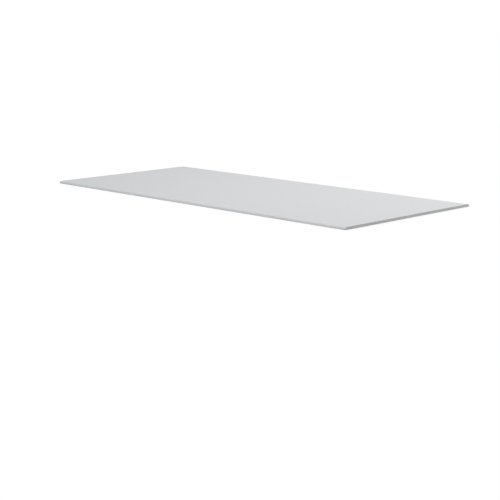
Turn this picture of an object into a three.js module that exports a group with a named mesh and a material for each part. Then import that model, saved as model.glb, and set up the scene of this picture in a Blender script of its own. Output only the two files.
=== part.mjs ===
// Drywall sheet: one tapered-edge gypsum board, in millimetres, +Z up.
// The board lies on its back with its face up. X runs along its length and Y across its width, and the
// origin is the middle of the back face.
//
// A board is formed as an endless strip and sawn square to length, so it is one solid: a section across
// the width, drawn once, carried along the whole length. The paper is folded round the two long edges,
// which are rounded, and the face drops away towards them to leave room for joint tape and filler.
// The two ends are plain square cuts.

import * as THREE from "three";

// Overall size
const LENGTH = 2700; // between the two cut ends
const WIDTH = 1200; // between the two wrapped long edges
const THICKNESS = 16; // between back and face, away from the recessed edges

// Recess along each long edge, on the face side only
const TAPER_WIDTH = 60; // from the long edge in to the line where the face starts to drop
const TAPER_DEPTH = 1.8; // how far the face has dropped by the time it reaches the edge
const TAPER_ROLL = 20; // width of the soft bend between the flat face and the slope

// Wrapped long edges
const FACE_RADIUS = 3; // paper rolled over from the face
const BACK_RADIUS = 1.5; // tighter fold under the back

const BEND_SEGMENTS = 8; // facets in each soft bend; a rounded edge gets twice as many

// Where the straight parts of the section meet, seen from the end
const halfWidth = WIDTH / 2;
const slope = Math.atan(TAPER_DEPTH / TAPER_WIDTH);
const bendAt = halfWidth - TAPER_WIDTH;
const bendRun = TAPER_ROLL / 2;
const bendDrop = bendRun * Math.tan(slope);

// The rolled corner touches both the slope and the upright edge
const faceCentreY = halfWidth - FACE_RADIUS;
const faceCentreZ = THICKNESS - TAPER_DEPTH - (FACE_RADIUS * (1 - Math.sin(slope))) / Math.cos(slope);
const backCentreY = halfWidth - BACK_RADIUS;

// The section as a closed outline, starting on the back and going up the +Y edge first.
// Its first coordinate is the board's Y and its second the board's Z.
function boardSection() {
  const section = new THREE.Shape();
  section.moveTo(-backCentreY, 0);

  // Back face, then the +Y edge: fold, upright and roll
  section.lineTo(backCentreY, 0);
  section.absarc(backCentreY, BACK_RADIUS, BACK_RADIUS, -Math.PI / 2, 0, false);
  section.lineTo(halfWidth, faceCentreZ);
  section.absarc(faceCentreY, faceCentreZ, FACE_RADIUS, 0, Math.PI / 2 - slope, false);

  // Up the +Y slope, across the face and down the -Y slope
  section.lineTo(bendAt + bendRun, THICKNESS - bendDrop);
  section.quadraticCurveTo(bendAt, THICKNESS, bendAt - bendRun, THICKNESS);
  section.lineTo(-(bendAt - bendRun), THICKNESS);
  section.quadraticCurveTo(-bendAt, THICKNESS, -(bendAt + bendRun), THICKNESS - bendDrop);

  // The -Y edge, down to the back again
  section.absarc(-faceCentreY, faceCentreZ, FACE_RADIUS, Math.PI / 2 + slope, Math.PI, false);
  section.lineTo(-halfWidth, BACK_RADIUS);
  section.absarc(-backCentreY, BACK_RADIUS, BACK_RADIUS, Math.PI, 1.5 * Math.PI, false);
  return section;
}

// The section carried along the length, with the length turned to lie on X and centred there
function boardSolid() {
  const solid = new THREE.ExtrudeGeometry(boardSection(), {
    depth: LENGTH,
    steps: 1,
    bevelEnabled: false,
    curveSegments: BEND_SEGMENTS,
  });
  const acrossToY = new THREE.Vector3(0, 1, 0);
  const upToZ = new THREE.Vector3(0, 0, 1);
  const depthToX = new THREE.Vector3(1, 0, 0);
  solid.translate(0, 0, -LENGTH / 2);
  solid.applyMatrix4(new THREE.Matrix4().makeBasis(acrossToY, upToZ, depthToX));
  return solid;
}

const liningPaper = new THREE.MeshStandardMaterial({
  name: "lining_paper",
  color: 0xd9dbdc,
  roughness: 0.9,
  metalness: 0,
});

const board = new THREE.Mesh(boardSolid(), liningPaper);
board.name = "drywall_sheet";

const drywallSheet = new THREE.Group();
drywallSheet.name = "drywall";
drywallSheet.add(board);

export default drywallSheet;
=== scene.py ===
"""Drywall sheet: one board with recessed long edges, lying on its back, dressed over its CAD model.

Metres, +Z up, in the CAD model's frame: X along the board, Y across it, the origin in the middle of its
back.
"""

import math

import bpy
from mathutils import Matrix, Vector


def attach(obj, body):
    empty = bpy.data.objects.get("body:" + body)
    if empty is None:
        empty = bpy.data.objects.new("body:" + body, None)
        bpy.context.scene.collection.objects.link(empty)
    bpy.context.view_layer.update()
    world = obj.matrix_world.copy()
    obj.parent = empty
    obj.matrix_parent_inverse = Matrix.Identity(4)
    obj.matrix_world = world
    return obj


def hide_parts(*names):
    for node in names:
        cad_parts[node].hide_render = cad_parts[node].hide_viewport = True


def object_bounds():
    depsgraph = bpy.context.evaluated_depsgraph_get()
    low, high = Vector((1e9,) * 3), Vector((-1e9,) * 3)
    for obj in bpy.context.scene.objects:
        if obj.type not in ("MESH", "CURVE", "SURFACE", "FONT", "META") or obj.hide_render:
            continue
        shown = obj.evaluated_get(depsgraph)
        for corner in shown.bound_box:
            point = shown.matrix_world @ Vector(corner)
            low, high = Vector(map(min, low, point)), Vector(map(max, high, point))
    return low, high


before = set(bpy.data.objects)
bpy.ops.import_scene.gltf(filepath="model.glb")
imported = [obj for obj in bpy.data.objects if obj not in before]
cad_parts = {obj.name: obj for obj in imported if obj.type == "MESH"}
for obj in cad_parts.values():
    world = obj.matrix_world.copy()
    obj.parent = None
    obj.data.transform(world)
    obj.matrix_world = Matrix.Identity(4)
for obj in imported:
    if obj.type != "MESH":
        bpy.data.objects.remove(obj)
cad_low, cad_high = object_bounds()


# ---------------------------------------------------------------------------------------------------
# Face paper
# A pale liner of long fibres, made in a web, so that they lie mostly along the board. It covers the
# face, is folded round both long edges, and ends as a hem on the back.
# ---------------------------------------------------------------------------------------------------

# What shows in a web of paper, by its length along the board and its width across it
FIBRE = (0.0040, 0.0007)
CLOUD = (0.018, 0.009)  # a patch where the fibres lie thicker
STREAK = (1.4, 0.011)  # drawn out as the web runs
ODD_FIBRE = (0.0026, 0.0004)
ODD_FIBRE_BEND = (0.006, 0.003)
ODD_FIBRE_SWAY = 0.003  # how far a bend carries an odd fibre off its line

# The same for what cutting and folding leave in the paper
FLUFF = (0.0030, 0.0009)
BROKEN_FIBRE = (0.012, 0.0006)
RIPPLE = (0.055, 0.0045)

FLUFF_REACH = 0.0012  # how far in from a cut the fluff lies, more or less
FLUFF_VARIES = (0.1, 1.6)  # from its least to its most, as shares of that
BROKEN_SHOWS = 0.7  # how much the broken fibres in a fold show, where fluff is 1

# How much fibre, cloud and streak each make of the web's tone, and the ranges of that tone in which
# the paper goes from deep to pale, and a cut through it from its plies to fluff
TONE_SHARES = (0.60, 0.28, 0.12)
SURFACE_RANGE = (0.34, 0.66)
CUT_RANGE = (0.44, 0.64)

# Heights on the paper, in heights of a fibre
CLOUD_HEIGHT = 0.5
FLUFF_HEIGHT = 1.2
RIPPLE_HEIGHT = 9.0


class Graph:
    """Adds nodes to a tree and links them. A value is another node's output or a plain number."""

    def __init__(self, tree):
        self.tree = tree

    def feed(self, socket, value):
        if isinstance(value, bpy.types.NodeSocket):
            self.tree.links.new(value, socket)
        else:
            socket.default_value = value

    def node(self, kind, values=None, **settings):
        made = self.tree.nodes.new(kind)
        for name, value in settings.items():
            setattr(made, name, value)
        for name, value in (values or {}).items():
            self.feed(made.inputs[name], value)
        return made

    def math(self, operation, *values, clamp=False):
        fed = dict(enumerate(values))
        return self.node("ShaderNodeMath", fed, operation=operation, use_clamp=clamp).outputs[0]

    def vector(self, operation, *values):
        fed = dict(enumerate(values))
        return self.node("ShaderNodeVectorMath", fed, operation=operation).outputs[0]

    def ramp(self, value, low, high, to_low=0.0, to_high=1.0, smooth=False):
        """value carried from low..high to to_low..to_high, and held there."""
        made = self.node(
            "ShaderNodeMapRange",
            {"Value": value, "From Min": low, "From Max": high, "To Min": to_low, "To Max": to_high},
            interpolation_type="SMOOTHSTEP" if smooth else "LINEAR",
        )
        return made.outputs["Result"]

    def blend(self, share, low, high):
        """A colour from low to high, by share."""
        made = self.node("ShaderNodeMix", data_type="RGBA")
        for socket, value in ((made.inputs[0], share), (made.inputs[6], low), (made.inputs[7], high)):
            self.feed(socket, (*value, 1) if isinstance(value, tuple) else value)
        return made.outputs[2]

    def here(self):
        return self.node("ShaderNodeTexCoord").outputs["Object"]

    def attribute(self, name):
        return self.node("ShaderNodeAttribute", attribute_name=name).outputs["Fac"]

    def stretch(self, place, along, across):
        """Coordinates in which one unit is along metres on X and across metres on Y and Z."""
        return self.vector("MULTIPLY", place, (1 / along, 1 / across, 1 / across))

    def noise(self, place, detail=2.0, roughness=0.5):
        """Noise from 0 to 1, but mostly from 0.35 to 0.65, with features about one unit wide."""
        made = self.node(
            "ShaderNodeTexNoise",
            {"Vector": place, "Scale": 1.0, "Detail": detail, "Roughness": roughness},
        )
        return made.outputs[0]

    def bent(self, place, along, across, sway):
        """Coordinates that bend about every along metres on X and across on Y and Z, by up to sway."""
        fed = {"Vector": self.stretch(place, along, across), "Scale": 1.0}
        drift = self.node("ShaderNodeTexNoise", fed).outputs["Color"]
        return self.vector("MULTIPLY_ADD", drift, (sway, sway, sway), place)

    def emboss(self, shader, height, relief):
        """Gives a shader relief, with a height of 1 standing for this many metres."""
        bump = self.node("ShaderNodeBump", {"Height": height, "Strength": 1.0, "Distance": relief})
        self.feed(shader.inputs["Normal"], bump.outputs["Normal"])


def shader_group(name, inputs, outputs):
    """A shader node group with named number inputs and outputs, and the sockets of its two ends."""
    tree = bpy.data.node_groups.new(name, "ShaderNodeTree")
    for label, default in inputs.items():
        socket = tree.interface.new_socket(label, in_out="INPUT", socket_type="NodeSocketFloat")
        socket.default_value = default
    for label in outputs:
        tree.interface.new_socket(label, in_out="OUTPUT", socket_type="NodeSocketFloat")
    return tree, tree.nodes.new("NodeGroupInput").outputs, tree.nodes.new("NodeGroupOutput").inputs


def paper_web():
    """What a web of paper shows: its tone, its odd dark fibres and the relief of the fibres."""
    tree, given, wanted = shader_group("paper_web", {"Fleck Share": 0.3}, ["Tone", "Fleck", "Relief"])
    g = Graph(tree)
    place = g.here()
    fibre = g.noise(g.stretch(place, *FIBRE), detail=3.0, roughness=0.65)
    cloud = g.noise(g.stretch(place, *CLOUD))
    streak = g.noise(g.stretch(place, *STREAK))
    of_fibre, of_cloud, of_streak = TONE_SHARES
    tone = g.math("MULTIPLY_ADD", fibre, of_fibre, g.math("MULTIPLY", cloud, of_cloud))
    g.feed(wanted["Tone"], g.math("MULTIPLY_ADD", streak, of_streak, tone))
    g.feed(wanted["Relief"], g.math("MULTIPLY_ADD", cloud, CLOUD_HEIGHT, fibre))

    curled = g.bent(place, *ODD_FIBRE_BEND, ODD_FIBRE_SWAY)
    odd = g.noise(g.stretch(curled, *ODD_FIBRE), detail=1.0)
    threshold = g.math("SUBTRACT", 1.0, given["Fleck Share"])
    g.feed(wanted["Fleck"], g.ramp(odd, threshold, g.math("ADD", threshold, 0.06)))
    return tree


def cut_fray():
    """Where paper has been cut through: the last of it, ragged, with pale fluff that also serves as a
    painted highlight along the cut.
    """
    tree, given, wanted = shader_group("cut_fray", {"Reach": 0.001}, ["Fray"])
    g = Graph(tree)
    ragged = g.noise(g.stretch(g.here(), *FLUFF), detail=3.0, roughness=0.7)
    reach = g.math("MULTIPLY", given["Reach"], g.ramp(ragged, 0.35, 0.68, *FLUFF_VARIES))
    share = g.math("DIVIDE", g.attribute("to_end"), reach)
    g.feed(wanted["Fray"], g.math("SUBTRACT", 1.0, share, clamp=True))
    return tree


def fold_marks():
    """What folding leaves in paper: broken, paler fibres along the bends, which also paint a highlight
    there, and slack ripples between them.
    """
    tree, given, wanted = shader_group("fold_marks", {"Ripple": 1.0}, ["Crease", "Slack"])
    g = Graph(tree)
    place = g.here()
    broken = g.noise(g.stretch(place, *BROKEN_FIBRE), detail=3.0, roughness=0.6)
    in_bend = g.ramp(g.attribute("bend"), 0.45, 0.95)
    g.feed(wanted["Crease"], g.math("MULTIPLY", in_bend, g.ramp(broken, 0.38, 0.62)))
    slack = g.math("MULTIPLY", g.attribute("upright"), g.noise(g.stretch(place, *RIPPLE)))
    g.feed(wanted["Slack"], g.math("MULTIPLY", slack, given["Ripple"]))
    return tree


PAPER_WEB = paper_web()
CUT_FRAY = cut_fray()
FOLD_MARKS = fold_marks()


def new_finish(name):
    """A new material, the graph of its nodes, and its shader."""
    material = bpy.data.materials.new(name)
    material.use_nodes = True
    return material, Graph(material.node_tree), material.node_tree.nodes["Principled BSDF"]


def paper(name, pale, deep, fleck, fleck_share, fluff, plies, roughness, relief):
    """Liner paper, from its two tones, the colours of what else shows in it, and its feel."""
    material, g, shader = new_finish(name)
    web = g.node("ShaderNodeGroup", {"Fleck Share": fleck_share}, node_tree=PAPER_WEB).outputs
    fray = g.node("ShaderNodeGroup", {"Reach": FLUFF_REACH}, node_tree=CUT_FRAY).outputs
    folds = g.node("ShaderNodeGroup", {"Ripple": RIPPLE_HEIGHT}, node_tree=FOLD_MARKS).outputs
    # Paler paper along the cut ends and the folded edges: real lifted fluff and broken fibres, and a
    # painted highlight where the edges catch the light
    fluff_and_edge_highlight = g.math("MAXIMUM", fray["Fray"], g.math("MULTIPLY", folds["Crease"], BROKEN_SHOWS))

    surface = g.blend(g.ramp(web["Tone"], *SURFACE_RANGE), deep, pale)
    surface = g.blend(fluff_and_edge_highlight, g.blend(web["Fleck"], surface, fleck), fluff)
    cut = g.blend(g.ramp(web["Tone"], *CUT_RANGE), plies, fluff)
    g.feed(shader.inputs["Base Color"], g.blend(g.attribute("cut"), surface, cut))
    g.feed(shader.inputs["Roughness"], g.ramp(web["Tone"], 0.4, 0.6, roughness + 0.05, roughness))
    height = g.math("ADD", web["Relief"], folds["Slack"])
    g.emboss(shader, g.math("MULTIPLY_ADD", fluff_and_edge_highlight, FLUFF_HEIGHT, height), relief)
    return material


face_paper = paper(
    "face_paper",
    pale=(0.692, 0.707, 0.720),
    deep=(0.642, 0.656, 0.669),
    fleck=(0.545, 0.555, 0.560),
    fleck_share=0.27,
    fluff=(0.70, 0.71, 0.71),
    plies=(0.46, 0.455, 0.44),  # the greyer layers inside it, which a cut lays open
    roughness=0.80,
    relief=0.00006,
)


# ---------------------------------------------------------------------------------------------------
# Back paper
# A coarser, greyer liner of mixed fibres, a little narrower than the board. It is laid over the hems
# of the face paper and pasted down on them.
# ---------------------------------------------------------------------------------------------------
back_paper = paper(
    "back_paper",
    pale=(0.560, 0.556, 0.540),
    deep=(0.480, 0.477, 0.462),
    fleck=(0.33, 0.325, 0.31),
    fleck_share=0.37,
    fluff=(0.58, 0.575, 0.56),
    plies=(0.37, 0.36, 0.34),
    roughness=0.84,
    relief=0.00012,
)


# ---------------------------------------------------------------------------------------------------
# Gypsum core, where it shows at the two cut ends
# Foamed plaster that has set between the papers: off-white, matt and chalky, full of fine pores with
# a few larger bubbles, denser next to the paper, and scored by the saw that trimmed the board.
# ---------------------------------------------------------------------------------------------------

# Holes in the plaster, by their spacing and their largest radius
PORES = (0.0008, 0.00034)
SMALL_BUBBLES = (0.0019, 0.0006)
LARGE_BUBBLES = (0.0075, 0.0010)
BUBBLES_FROM = (0.0007, 0.0022)  # how far in from the outside the first are, and all of them
HOLE_BEND = 0.0009  # from one bend in a hole's outline to the next
HOLE_SWAY = 0.0004  # how far such a bend goes

GRAIN = 0.0009
MOTTLE = 0.009
MOTTLE_SHARE = 0.35  # of the plaster's tone, with grain for the rest
SAW_STROKE = (0.0012, 0.03)  # width and length
SAW_LEAN = 12  # degrees that the strokes lean off upright

CHALK_DEEP = (0.612, 0.620, 0.620)
CHALK_PALE = (0.712, 0.720, 0.720)
# painted shade: the dark that the pores are drawn with, for the shade that falls inside them
PAINTED_PORE_SHADE = (0.336, 0.340, 0.340)
CORE_ROUGHNESS = 0.95

CORE_RELIEF = 0.00022  # the height that the next three are shares of
STROKE_HEIGHT = 0.9
GRAIN_HEIGHT = 0.7
HOLE_DEPTH = 0.8


def holes(g, place, spacing, radius, shape=1.0):
    """Depth, from 0 to 1, in round holes of up to radius, with about one centre to each spacing.

    A shape under 1 gives them steeper sides.
    """
    cells = g.stretch(place, spacing, spacing)
    found = g.node("ShaderNodeTexVoronoi", {"Vector": cells, "Scale": 1.0}).outputs
    drawn = g.node("ShaderNodeSeparateColor", {"Color": found["Color"]}).outputs[0]
    reach = g.ramp(drawn, 0.0, 1.0, 0.4 * radius / spacing, radius / spacing)
    share = g.math("DIVIDE", found["Distance"], reach)
    depth = g.math("SUBTRACT", 1.0, g.math("MULTIPLY", share, share), clamp=True)
    return g.math("POWER", depth, shape)


def saw_strokes(g, place):
    """The fine score lines that the saw leaves from one paper to the other."""
    fed = {"Vector": place, "Axis": (1, 0, 0), "Angle": math.radians(SAW_LEAN)}
    leaning = g.node("ShaderNodeVectorRotate", fed).outputs[0]
    width, length = SAW_STROKE
    return g.noise(g.vector("MULTIPLY", leaning, (0, 1 / width, 1 / length)))


def cut_core():
    """The open plaster of a sawn end: chalk with holes in it, under the strokes of the saw, with painted
    shade darkening the holes.
    """
    material, g, shader = new_finish("cut_core")
    place = g.here()
    bent = g.bent(place, HOLE_BEND, HOLE_BEND, HOLE_SWAY)
    large = holes(g, bent, *LARGE_BUBBLES, shape=0.7)
    bubbles = g.math("MAXIMUM", holes(g, bent, *SMALL_BUBBLES), large)
    bubbles = g.math("MULTIPLY", bubbles, g.ramp(g.attribute("rim"), *BUBBLES_FROM))
    pores = g.math("MAXIMUM", holes(g, bent, *PORES), bubbles)

    grain = g.noise(g.stretch(place, GRAIN, GRAIN), detail=4.0, roughness=0.7)
    mottle = g.noise(g.stretch(place, MOTTLE, MOTTLE))
    tone = g.math("MULTIPLY", grain, 1.0 - MOTTLE_SHARE)
    tone = g.math("MULTIPLY_ADD", mottle, MOTTLE_SHARE, tone)
    chalk = g.blend(g.ramp(tone, 0.36, 0.64), CHALK_DEEP, CHALK_PALE)
    # Painted shade: each hole darkens towards its middle, standing in for the shade inside it
    painted_pore_shade = g.ramp(pores, 0.0, 0.9, smooth=True)
    g.feed(shader.inputs["Base Color"], g.blend(painted_pore_shade, chalk, PAINTED_PORE_SHADE))
    g.feed(shader.inputs["Roughness"], CORE_ROUGHNESS)
    height = g.math("MULTIPLY", grain, GRAIN_HEIGHT)
    height = g.math("MULTIPLY_ADD", saw_strokes(g, place), STROKE_HEIGHT, height)
    g.emboss(shader, g.math("MULTIPLY_ADD", pores, -HOLE_DEPTH, height), CORE_RELIEF)
    return material


# ---------------------------------------------------------------------------------------------------
# The board
# One piece: papers and plaster are formed in a line, so the section never changes along the board. The
# face drops towards the long edges, where its paper is folded round, and the two ends are sawn square.
# ---------------------------------------------------------------------------------------------------
SIZES = {
    # Those of the CAD model
    "Length": cad_high.x - cad_low.x,
    "Width": cad_high.y - cad_low.y,
    "Thickness": cad_high.z - cad_low.z,
    "Taper Width": 0.060,
    "Taper Depth": 0.0018,
    "Taper Roll": 0.020,
    "Face Radius": 0.003,
    "Back Radius": 0.0015,
    # How much of the face paper shows along each side of the back, and how thick each paper is
    "Hem": 0.021,
    "Paper": 0.0004,
    # The most that the papers and, on top of that, the plaster lose at a sawn end
    "Ragged": 0.00015,
    "Crumble": 0.0010,
    "Seed": 3.0,
}
COUNTS = {"Rings": 12, "Columns": 1200, "Rows": 20}
LININGS = {"Face Paper": face_paper, "Back Paper": back_paper, "Core": cut_core()}

# How far apart a sawn end has crumbs missing, deeper pits, and tears in its papers
CRUMB = 0.006
PIT = 0.008
TEAR = 0.002

PIT_FLOOR = 0.12  # how far out a pit's floor reaches, as a share of PIT
PIT_BRIM = 0.38  # and how far its brim
PIT_SHARE = 0.55  # of the most that the plaster loses, with crumbs for the rest
ALL_LOST_FROM = 4.0  # how far in from the outside it loses all of that, in thicknesses of paper
AT_END = 0.0001  # a point nearer to an end than this is on it

# The board's skin laid flat on a square, one unit each way, for when its finishes are kept as images,
# in bands from low to high across it. The ends are cut into strips, laid in rows, to draw the plaster
# large.
FLAT_LAYOUT = "OFBake"  # the name that such a layout goes by
FLAT_FACE = (0.00, 0.36)
FLAT_BACK = (0.36, 0.62)
FLAT_EDGES = (0.62, 0.65)
FLAT_ENDS = (0.65, 1.00)
FLAT_GAP = 0.004
END_STRIPS = 4


class MeshGraph(Graph):
    """A graph that makes a mesh."""

    def parts(self, vector):
        return self.node("ShaderNodeSeparateXYZ", {0: vector}).outputs

    def place(self):
        return self.node("GeometryNodeInputPosition").outputs[0]

    def facing(self, kind):
        """The parts of a normal: True Normal is a face's own, and Normal is evened out at the points."""
        return self.parts(self.node("GeometryNodeInputNormal").outputs[kind])

    def store(self, mesh, name, value, domain="POINT", data_type="FLOAT"):
        fed = {"Geometry": mesh, "Name": name, "Value": value}
        made = self.node("GeometryNodeStoreNamedAttribute", fed, domain=domain, data_type=data_type)
        return made.outputs[0]

    def kept(self, name):
        return self.node("GeometryNodeInputNamedAttribute", {"Name": name}).outputs[0]


def laid_flat(g, unit, up, facing):
    """Where the corners of each face lie in the flat layout."""

    def row(band, rows, which, share):
        """A share of the way up one row of a band that has so many, counted from 0."""
        low, high = band
        pitch = (high - low) / rows
        foot = g.math("MULTIPLY_ADD", which, pitch, low)
        return g.math("MULTIPLY_ADD", share, pitch - FLAT_GAP, foot)

    def pick(when, chosen, other):
        fed = {"Switch": when, "True": chosen, "False": other}
        return g.node("GeometryNodeSwitch", fed, input_type="FLOAT").outputs[0]

    along = g.math("ADD", unit["X"], 0.5)
    across = g.math("ADD", unit["Y"], 0.5)
    middle = g.node("GeometryNodeFieldOnDomain", {"Value": across}, domain="FACE").outputs[0]
    strip = g.math("FLOOR", g.math("MULTIPLY", middle, END_STRIPS))
    along_strip = g.math("SUBTRACT", g.math("MULTIPLY", across, END_STRIPS), strip)
    end_row = g.math("MULTIPLY_ADD", g.math("GREATER_THAN", along, 0.5), END_STRIPS, strip)
    edge_row = g.math("GREATER_THAN", across, 0.5)

    on_end = g.math("GREATER_THAN", g.math("ABSOLUTE", facing["X"]), 0.5)
    on_edge = g.math("GREATER_THAN", g.math("ABSOLUTE", facing["Y"]), 0.5)
    on_face = g.math("GREATER_THAN", facing["Z"], 0.5)
    upward = pick(on_face, row(FLAT_FACE, 1, 0.0, across), row(FLAT_BACK, 1, 0.0, across))
    upward = pick(on_edge, row(FLAT_EDGES, 2, edge_row, up), upward)
    upward = pick(on_end, row(FLAT_ENDS, 2 * END_STRIPS, end_row, up), upward)
    sideways = pick(on_end, along_strip, along)
    return g.node("ShaderNodeCombineXYZ", {"X": sideways, "Y": upward}).outputs[0]


def spread_columns(g, given, even, half_width):
    """Where even columns are drawn to, how far outside the lap they are, and whether in the hem."""
    column = g.math("DIVIDE", given["Width"], given["Columns"])
    half_column = g.math("MULTIPLY", column, 0.5)
    lap = g.math("SNAP", g.math("SUBTRACT", half_width, given["Hem"]), column)

    # The first outside the lap is drawn in to it, and the last but one out to the folded paper
    spare = g.math("SUBTRACT", column, given["Paper"])
    at_lap = g.math("COMPARE", even, g.math("ADD", lap, column), half_column)
    at_fold = g.math("COMPARE", even, g.math("SUBTRACT", half_width, column), half_column)
    across = g.math("MULTIPLY_ADD", g.math("SUBTRACT", at_fold, at_lap), spare, even)
    in_hem = g.math("GREATER_THAN", even, g.math("ADD", lap, half_column))
    return across, g.math("SUBTRACT", even, lap), in_hem


def face_height(g, given, across, half_width):
    """The height of the face, which drops towards the long edges."""
    into_taper = g.math("SUBTRACT", across, g.math("SUBTRACT", half_width, given["Taper Width"]))
    slope = g.math("DIVIDE", given["Taper Depth"], given["Taper Width"])
    drop = g.math("MULTIPLY", g.math("SMOOTH_MAX", into_taper, 0.0, given["Taper Roll"]), slope)
    return g.math("SUBTRACT", given["Thickness"], drop)


def fold_inset(g, given, up):
    """How far a row of points stands in at a long edge, by what the two folds take away there."""
    edge_height = g.math("SUBTRACT", given["Thickness"], given["Taper Depth"])
    edge_height = g.math("SUBTRACT", edge_height, given["Paper"])
    from_back = g.math("MULTIPLY", up, edge_height)

    def fold(distance, radius):
        short = g.math("MAXIMUM", g.math("SUBTRACT", radius, distance), 0.0)
        chord = g.math("SUBTRACT", g.math("MULTIPLY", radius, radius), g.math("MULTIPLY", short, short))
        return g.math("SUBTRACT", radius, g.math("SQRT", g.math("MAXIMUM", chord, 0.0)))

    under_face = fold(g.math("SUBTRACT", edge_height, from_back), given["Face Radius"])
    return g.math("ADD", under_face, fold(from_back, given["Back Radius"]))


def marked_folds(g, board):
    """Marks how nearly a point faces out sideways, and how nearly it is half way round a fold."""
    facing = g.facing("Normal")
    sideways = g.math("ABSOLUTE", facing["Y"])
    half_way = g.math("MULTIPLY", g.math("MULTIPLY", sideways, g.math("ABSOLUTE", facing["Z"])), 2.0)
    return g.store(g.store(board, "upright", sideways), "bend", half_way)


def sawn(g, given, board):
    """Leaves the papers ragged at the two ends, and takes crumbs out of the plaster between them."""
    place = g.place()
    shifted = g.vector("ADD", place, given["Seed"])
    rough = g.ramp(g.noise(g.stretch(shifted, CRUMB, CRUMB), detail=2.0), 0.3, 0.75)
    cells = g.node("ShaderNodeTexVoronoi", {"Vector": g.stretch(shifted, PIT, PIT), "Scale": 1.0})
    pit = g.ramp(cells.outputs["Distance"], PIT_FLOOR, PIT_BRIM, 1.0, 0.0, smooth=True)
    lost = g.math("MULTIPLY_ADD", pit, PIT_SHARE, g.math("MULTIPLY", rough, 1.0 - PIT_SHARE))
    lost = g.math("MULTIPLY", lost, given["Crumble"])
    torn = g.ramp(g.noise(g.stretch(shifted, TEAR, TEAR)), 0.45, 0.75)
    ragged = g.math("MULTIPLY", torn, given["Ragged"])

    well_in = g.math("MULTIPLY", given["Paper"], ALL_LOST_FROM)
    inside = g.ramp(g.kept("rim"), given["Paper"], well_in, smooth=True)
    depth = g.math("MAXIMUM", ragged, g.math("MULTIPLY", inside, g.math("ADD", lost, given["Ragged"])))
    at_end = g.math("LESS_THAN", g.kept("to_end"), AT_END)
    inward = g.math("MULTIPLY", g.math("MULTIPLY", depth, at_end), g.math("SIGN", g.parts(place)["X"]))
    shift = g.node("ShaderNodeCombineXYZ", {"X": g.math("MULTIPLY", inward, -1.0)}).outputs[0]
    return g.node("GeometryNodeSetPosition", {"Geometry": board, "Offset": shift}).outputs[0]


def smoothed(g, board):
    """Smooth all over, but sharp round the cut ends and round the plaster in them."""

    def border(mark):
        """1 on an edge between a face with the mark and one without, which reads half of it."""
        return g.math("COMPARE", g.kept(mark), 0.5, 0.2)

    board = g.node("GeometryNodeSetShadeSmooth", {"Geometry": board}).outputs[0]
    sharp = g.math("MAXIMUM", border("cut"), border("core"))
    return g.store(board, "sharp_edge", sharp, "EDGE", "BOOLEAN")


def lined(g, given, board):
    """Face paper all round, back paper between the laps, and plaster inside the papers' cut ends."""
    low = g.math("LESS_THAN", g.parts(g.place())["Z"], g.math("MULTIPLY", given["Thickness"], 0.5))
    facing_down = g.math("LESS_THAN", g.facing("True Normal")["Z"], -0.5)
    down_or_cut = g.math("MAXIMUM", facing_down, g.kept("cut"))
    between = g.math("LESS_THAN", g.kept("off_lap"), 0.0)
    on_back = g.math("MULTIPLY", g.math("MULTIPLY", low, down_or_cut), between)
    for lining, where in (("Face Paper", True), ("Back Paper", on_back), ("Core", g.kept("core"))):
        fed = {"Geometry": board, "Material": given[lining], "Selection": where}
        board = g.node("GeometryNodeSetMaterial", fed).outputs[0]
    return board


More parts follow.
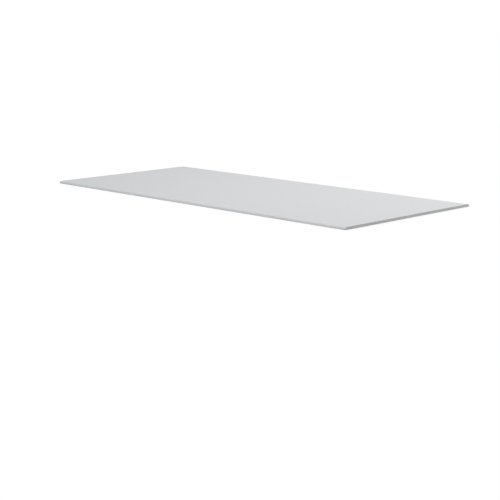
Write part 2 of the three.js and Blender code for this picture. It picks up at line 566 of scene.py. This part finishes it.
def formed_board():
    """Carries the board's section along its length: a closed block of cells, drawn into shape."""
    tree = bpy.data.node_groups.new("formed_board", "GeometryNodeTree")
    for labels, kind in ((SIZES, "Float"), (COUNTS, "Int"), (LININGS, "Material")):
        for label in labels:
            tree.interface.new_socket(label, in_out="INPUT", socket_type="NodeSocket" + kind)
    tree.interface.new_socket("Geometry", in_out="OUTPUT", socket_type="NodeSocketGeometry")
    g = MeshGraph(tree)
    given = tree.nodes.new("NodeGroupInput").outputs

    # A block one unit each way, closed, with its points in rings, columns and rows
    block = g.node("GeometryNodeMeshCube")
    for side, count in (("X", "Rings"), ("Y", "Columns"), ("Z", "Rows")):
        g.feed(block.inputs["Vertices " + side], g.math("ADD", given[count], 1.0))
    unit = g.parts(g.place())

    # Each column of points has its place across, a top on the face and a foot on the back, which is up
    # by one paper in the hem
    half_width = g.math("MULTIPLY", given["Width"], 0.5)
    even = g.math("ABSOLUTE", g.math("MULTIPLY", unit["Y"], given["Width"]))
    across, off_lap, in_hem = spread_columns(g, given, even, half_width)
    top = face_height(g, given, across, half_width)
    bottom = g.math("MULTIPLY", in_hem, given["Paper"])

    # Rows close up towards the face and the back, where the folds are, and follow the folds' outline
    turn = g.math("COSINE", g.math("MULTIPLY", g.math("ADD", unit["Z"], 0.5), math.pi))
    up = g.math("MULTIPLY_ADD", turn, -0.5, 0.5)
    height = g.math("MULTIPLY_ADD", up, g.math("SUBTRACT", top, bottom), bottom)
    inset = fold_inset(g, given, up)
    reach = g.math("MULTIPLY", across, g.math("SUBTRACT", 1.0, g.math("DIVIDE", inset, half_width)))
    drawn = g.node("ShaderNodeCombineXYZ", {
        "X": g.math("MULTIPLY", unit["X"], given["Length"]),
        "Y": g.math("MULTIPLY", reach, g.math("SIGN", unit["Y"])),
        "Z": height,
    }).outputs[0]

    # For the finishes: how far each point is from the section's outline and from the nearer end
    to_side = g.math("SUBTRACT", g.math("SUBTRACT", half_width, inset), reach)
    to_papers = g.math("MINIMUM", g.math("SUBTRACT", top, height), g.math("SUBTRACT", height, bottom))
    rim = g.math("MAXIMUM", g.math("MINIMUM", to_side, to_papers), 0.0)
    off_middle = g.math("MULTIPLY", g.math("ABSOLUTE", unit["X"]), given["Length"])
    to_end = g.math("MULTIPLY_ADD", given["Length"], 0.5, g.math("MULTIPLY", off_middle, -1.0))
    board = g.store(block.outputs["Mesh"], "rim", rim)
    board = g.store(board, "to_end", to_end)

    # Marked while the block is still square: the flat layout, the cut ends, and the plaster in them
    facing = g.facing("True Normal")
    on_end = g.math("GREATER_THAN", g.math("ABSOLUTE", facing["X"]), 0.5)
    under_papers = g.math("GREATER_THAN", g.kept("rim"), given["Paper"])
    board = g.store(board, "off_lap", off_lap)
    board = g.store(board, FLAT_LAYOUT, laid_flat(g, unit, up, facing), "CORNER", "FLOAT2")
    board = g.store(board, "cut", on_end, "FACE")
    board = g.store(board, "core", g.math("MULTIPLY", on_end, under_papers), "FACE")

    board = g.node("GeometryNodeSetPosition", {"Geometry": board, "Position": drawn}).outputs[0]
    board = sawn(g, given, marked_folds(g, board))
    board = g.node("GeometryNodeRealizeInstances", {"Geometry": smoothed(g, board)}).outputs[0]
    g.feed(tree.nodes.new("NodeGroupOutput").inputs["Geometry"], lined(g, given, board))
    return tree


def grown(name, tree, values):
    """A piece made of a geometry tree's result as a plain mesh, with the tree's inputs set by name."""
    piece = bpy.data.objects.new(name, bpy.data.meshes.new(name))
    bpy.context.scene.collection.objects.link(piece)
    modifier = piece.modifiers.new(name, "NODES")
    modifier.node_group = tree
    for item in tree.interface.items_tree:
        if item.in_out == "INPUT" and item.name in values:
            modifier[item.identifier] = values[item.name]
    shown = piece.evaluated_get(bpy.context.evaluated_depsgraph_get())
    mesh = bpy.data.meshes.new_from_object(shown)
    mesh.materials.pop(index=0)  # the empty slot that the block starts with
    piece.modifiers.clear()
    piece.data = mesh
    return piece


board = grown("board", formed_board(), {**SIZES, **COUNTS, **LININGS})
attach(board, "root")
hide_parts("drywall_sheet")


# ---------------------------------------------------------------------------------------------------
# Light
# A high key lamp from in front of the long edge, a broad one off the right end, so that the face grows
# a little paler that way, and a white sky.
# ---------------------------------------------------------------------------------------------------
BROAD_AT = (1.4, 1.3, 6.0)
SKY_LIGHT = 0.195
SKY_SHOWN = 1.03  # just over white, so that all of it stays white


def lamp(name, kind, power, stands, aimed, **settings):
    """A lamp that stands at one place and is aimed at another."""
    data = bpy.data.lights.new(name, kind)
    data.energy = power
    for key, value in settings.items():
        setattr(data, key, value)
    made = bpy.data.objects.new(name, data)
    made.location = stands
    made.rotation_euler = (Vector(aimed) - Vector(stands)).to_track_quat("-Z", "Y").to_euler()
    bpy.context.scene.collection.objects.link(made)


def seen_white(g):
    """1 on rays that show the backdrop, straight or in gloss or glass, and 0 on those that light."""
    rays = g.node("ShaderNodeLightPath").outputs
    direct = g.math("MAXIMUM", rays["Is Camera Ray"], rays["Is Glossy Ray"])
    return g.math("MAXIMUM", direct, rays["Is Transmission Ray"])


def white_sky():
    world = bpy.data.worlds.new("sky")
    world.use_nodes = True
    tree = world.node_tree
    tree.nodes.clear()
    g = Graph(tree)
    strength = g.ramp(seen_white(g), 0.0, 1.0, SKY_LIGHT, SKY_SHOWN)
    white = g.node("ShaderNodeBackground", {"Color": (1, 1, 1, 1), "Strength": strength}).outputs[0]
    g.node("ShaderNodeOutputWorld", {"Surface": white})
    return world


lamp("key", "SUN", power=1.346, stands=(-0.15, -2.4, 3.25), aimed=(0, 0, 0), angle=math.radians(20))
lamp("broad", "AREA", power=175.0, stands=BROAD_AT, aimed=(*BROAD_AT[:2], 0), shape="DISK", size=2.0)
bpy.context.scene.world = white_sky()


# ---------------------------------------------------------------------------------------------------
# Floor
# An even white all round. About half of what it shows is the lamps' light with the board's shadow, and
# the rest is a glow in place of an open sky, darker where the board would hide some of that sky.
# ---------------------------------------------------------------------------------------------------
FLOOR_REACH = 60.0
FLOOR_GAP = 0.0002  # keeps the floor clear of the board's back
FLOOR_PAINT = (0.92, 0.92, 0.92)
SHOWN_PAINT = (0.45, 0.45, 0.45)  # where the floor shows, so that lamps and glow come to white
GLOW_UNDER_LAMP = 0.548
GLOW_FAR_OFF = 0.778
SKY_HIDDEN_WITHIN = 0.5  # how near the board has to be to hide some of the sky


def white_floor():
    material = bpy.data.materials.new("white_floor")
    material.use_nodes = True
    tree = material.node_tree
    tree.nodes.clear()
    g = Graph(tree)

    # The broad lamp's light falls away from under it, and the glow makes up for that
    place = g.node("ShaderNodeSeparateXYZ", {0: g.here()}).outputs
    off_x, off_y = (g.math("SUBTRACT", place[axis], at) for axis, at in zip("XY", BROAD_AT))
    off = g.math("MULTIPLY_ADD", off_x, off_x, g.math("MULTIPLY", off_y, off_y))
    share = g.math("DIVIDE", BROAD_AT[2] ** 2, g.math("ADD", off, BROAD_AT[2] ** 2))
    missing = g.ramp(g.math("MULTIPLY", share, share), 1.0, 0.0, GLOW_UNDER_LAMP, GLOW_FAR_OFF)
    fed = {"Distance": SKY_HIDDEN_WITHIN}
    open_sky = g.node("ShaderNodeAmbientOcclusion", fed, samples=8).outputs["AO"]
    seen = seen_white(g)
    strength = g.math("MULTIPLY", g.math("MULTIPLY", missing, open_sky), seen)
    glow = g.node("ShaderNodeEmission", {"Strength": strength}).outputs[0]
    paint = g.blend(seen, FLOOR_PAINT, SHOWN_PAINT)
    painted = g.node("ShaderNodeBsdfDiffuse", {"Color": paint}).outputs[0]
    both = g.node("ShaderNodeAddShader", {0: painted, 1: glow}).outputs[0]
    g.node("ShaderNodeOutputMaterial", {"Surface": both})
    return material


floor_mesh = bpy.data.meshes.new("floor")
square = ((-1, -1), (1, -1), (1, 1), (-1, 1))
corners = [(x * FLOOR_REACH, y * FLOOR_REACH, -FLOOR_GAP) for x, y in square]
floor_mesh.from_pydata(corners, [], [(0, 1, 2, 3)])
floor_mesh.materials.append(white_floor())
floor = bpy.data.objects.new("floor", floor_mesh)
bpy.context.scene.collection.objects.link(floor)


# ---------------------------------------------------------------------------------------------------
# Camera
# A long lens set low off the near corner, so that the long edge runs away to the left and the cut end
# to the right.
# ---------------------------------------------------------------------------------------------------
CAMERA_OFF = (5.648, -5.659)  # from the middle of the board
CAMERA_RISE = 1.176  # above its face
CAMERA_DIP = 11.17  # degrees that it looks down
CAMERA_TURN = 45  # degrees that it is turned from looking straight across the board

camera_data = bpy.data.cameras.new("camera")
camera_data.sensor_width = 36.0
camera_data.lens = 85.8
camera = bpy.data.objects.new("camera", camera_data)
camera.location = (*CAMERA_OFF, CAMERA_RISE + cad_high.z)
camera.rotation_euler = (math.radians(90 - CAMERA_DIP), 0, math.radians(CAMERA_TURN))
bpy.context.scene.collection.objects.link(camera)
bpy.context.scene.camera = camera
bpy.context.scene.view_settings.view_transform = "Standard"
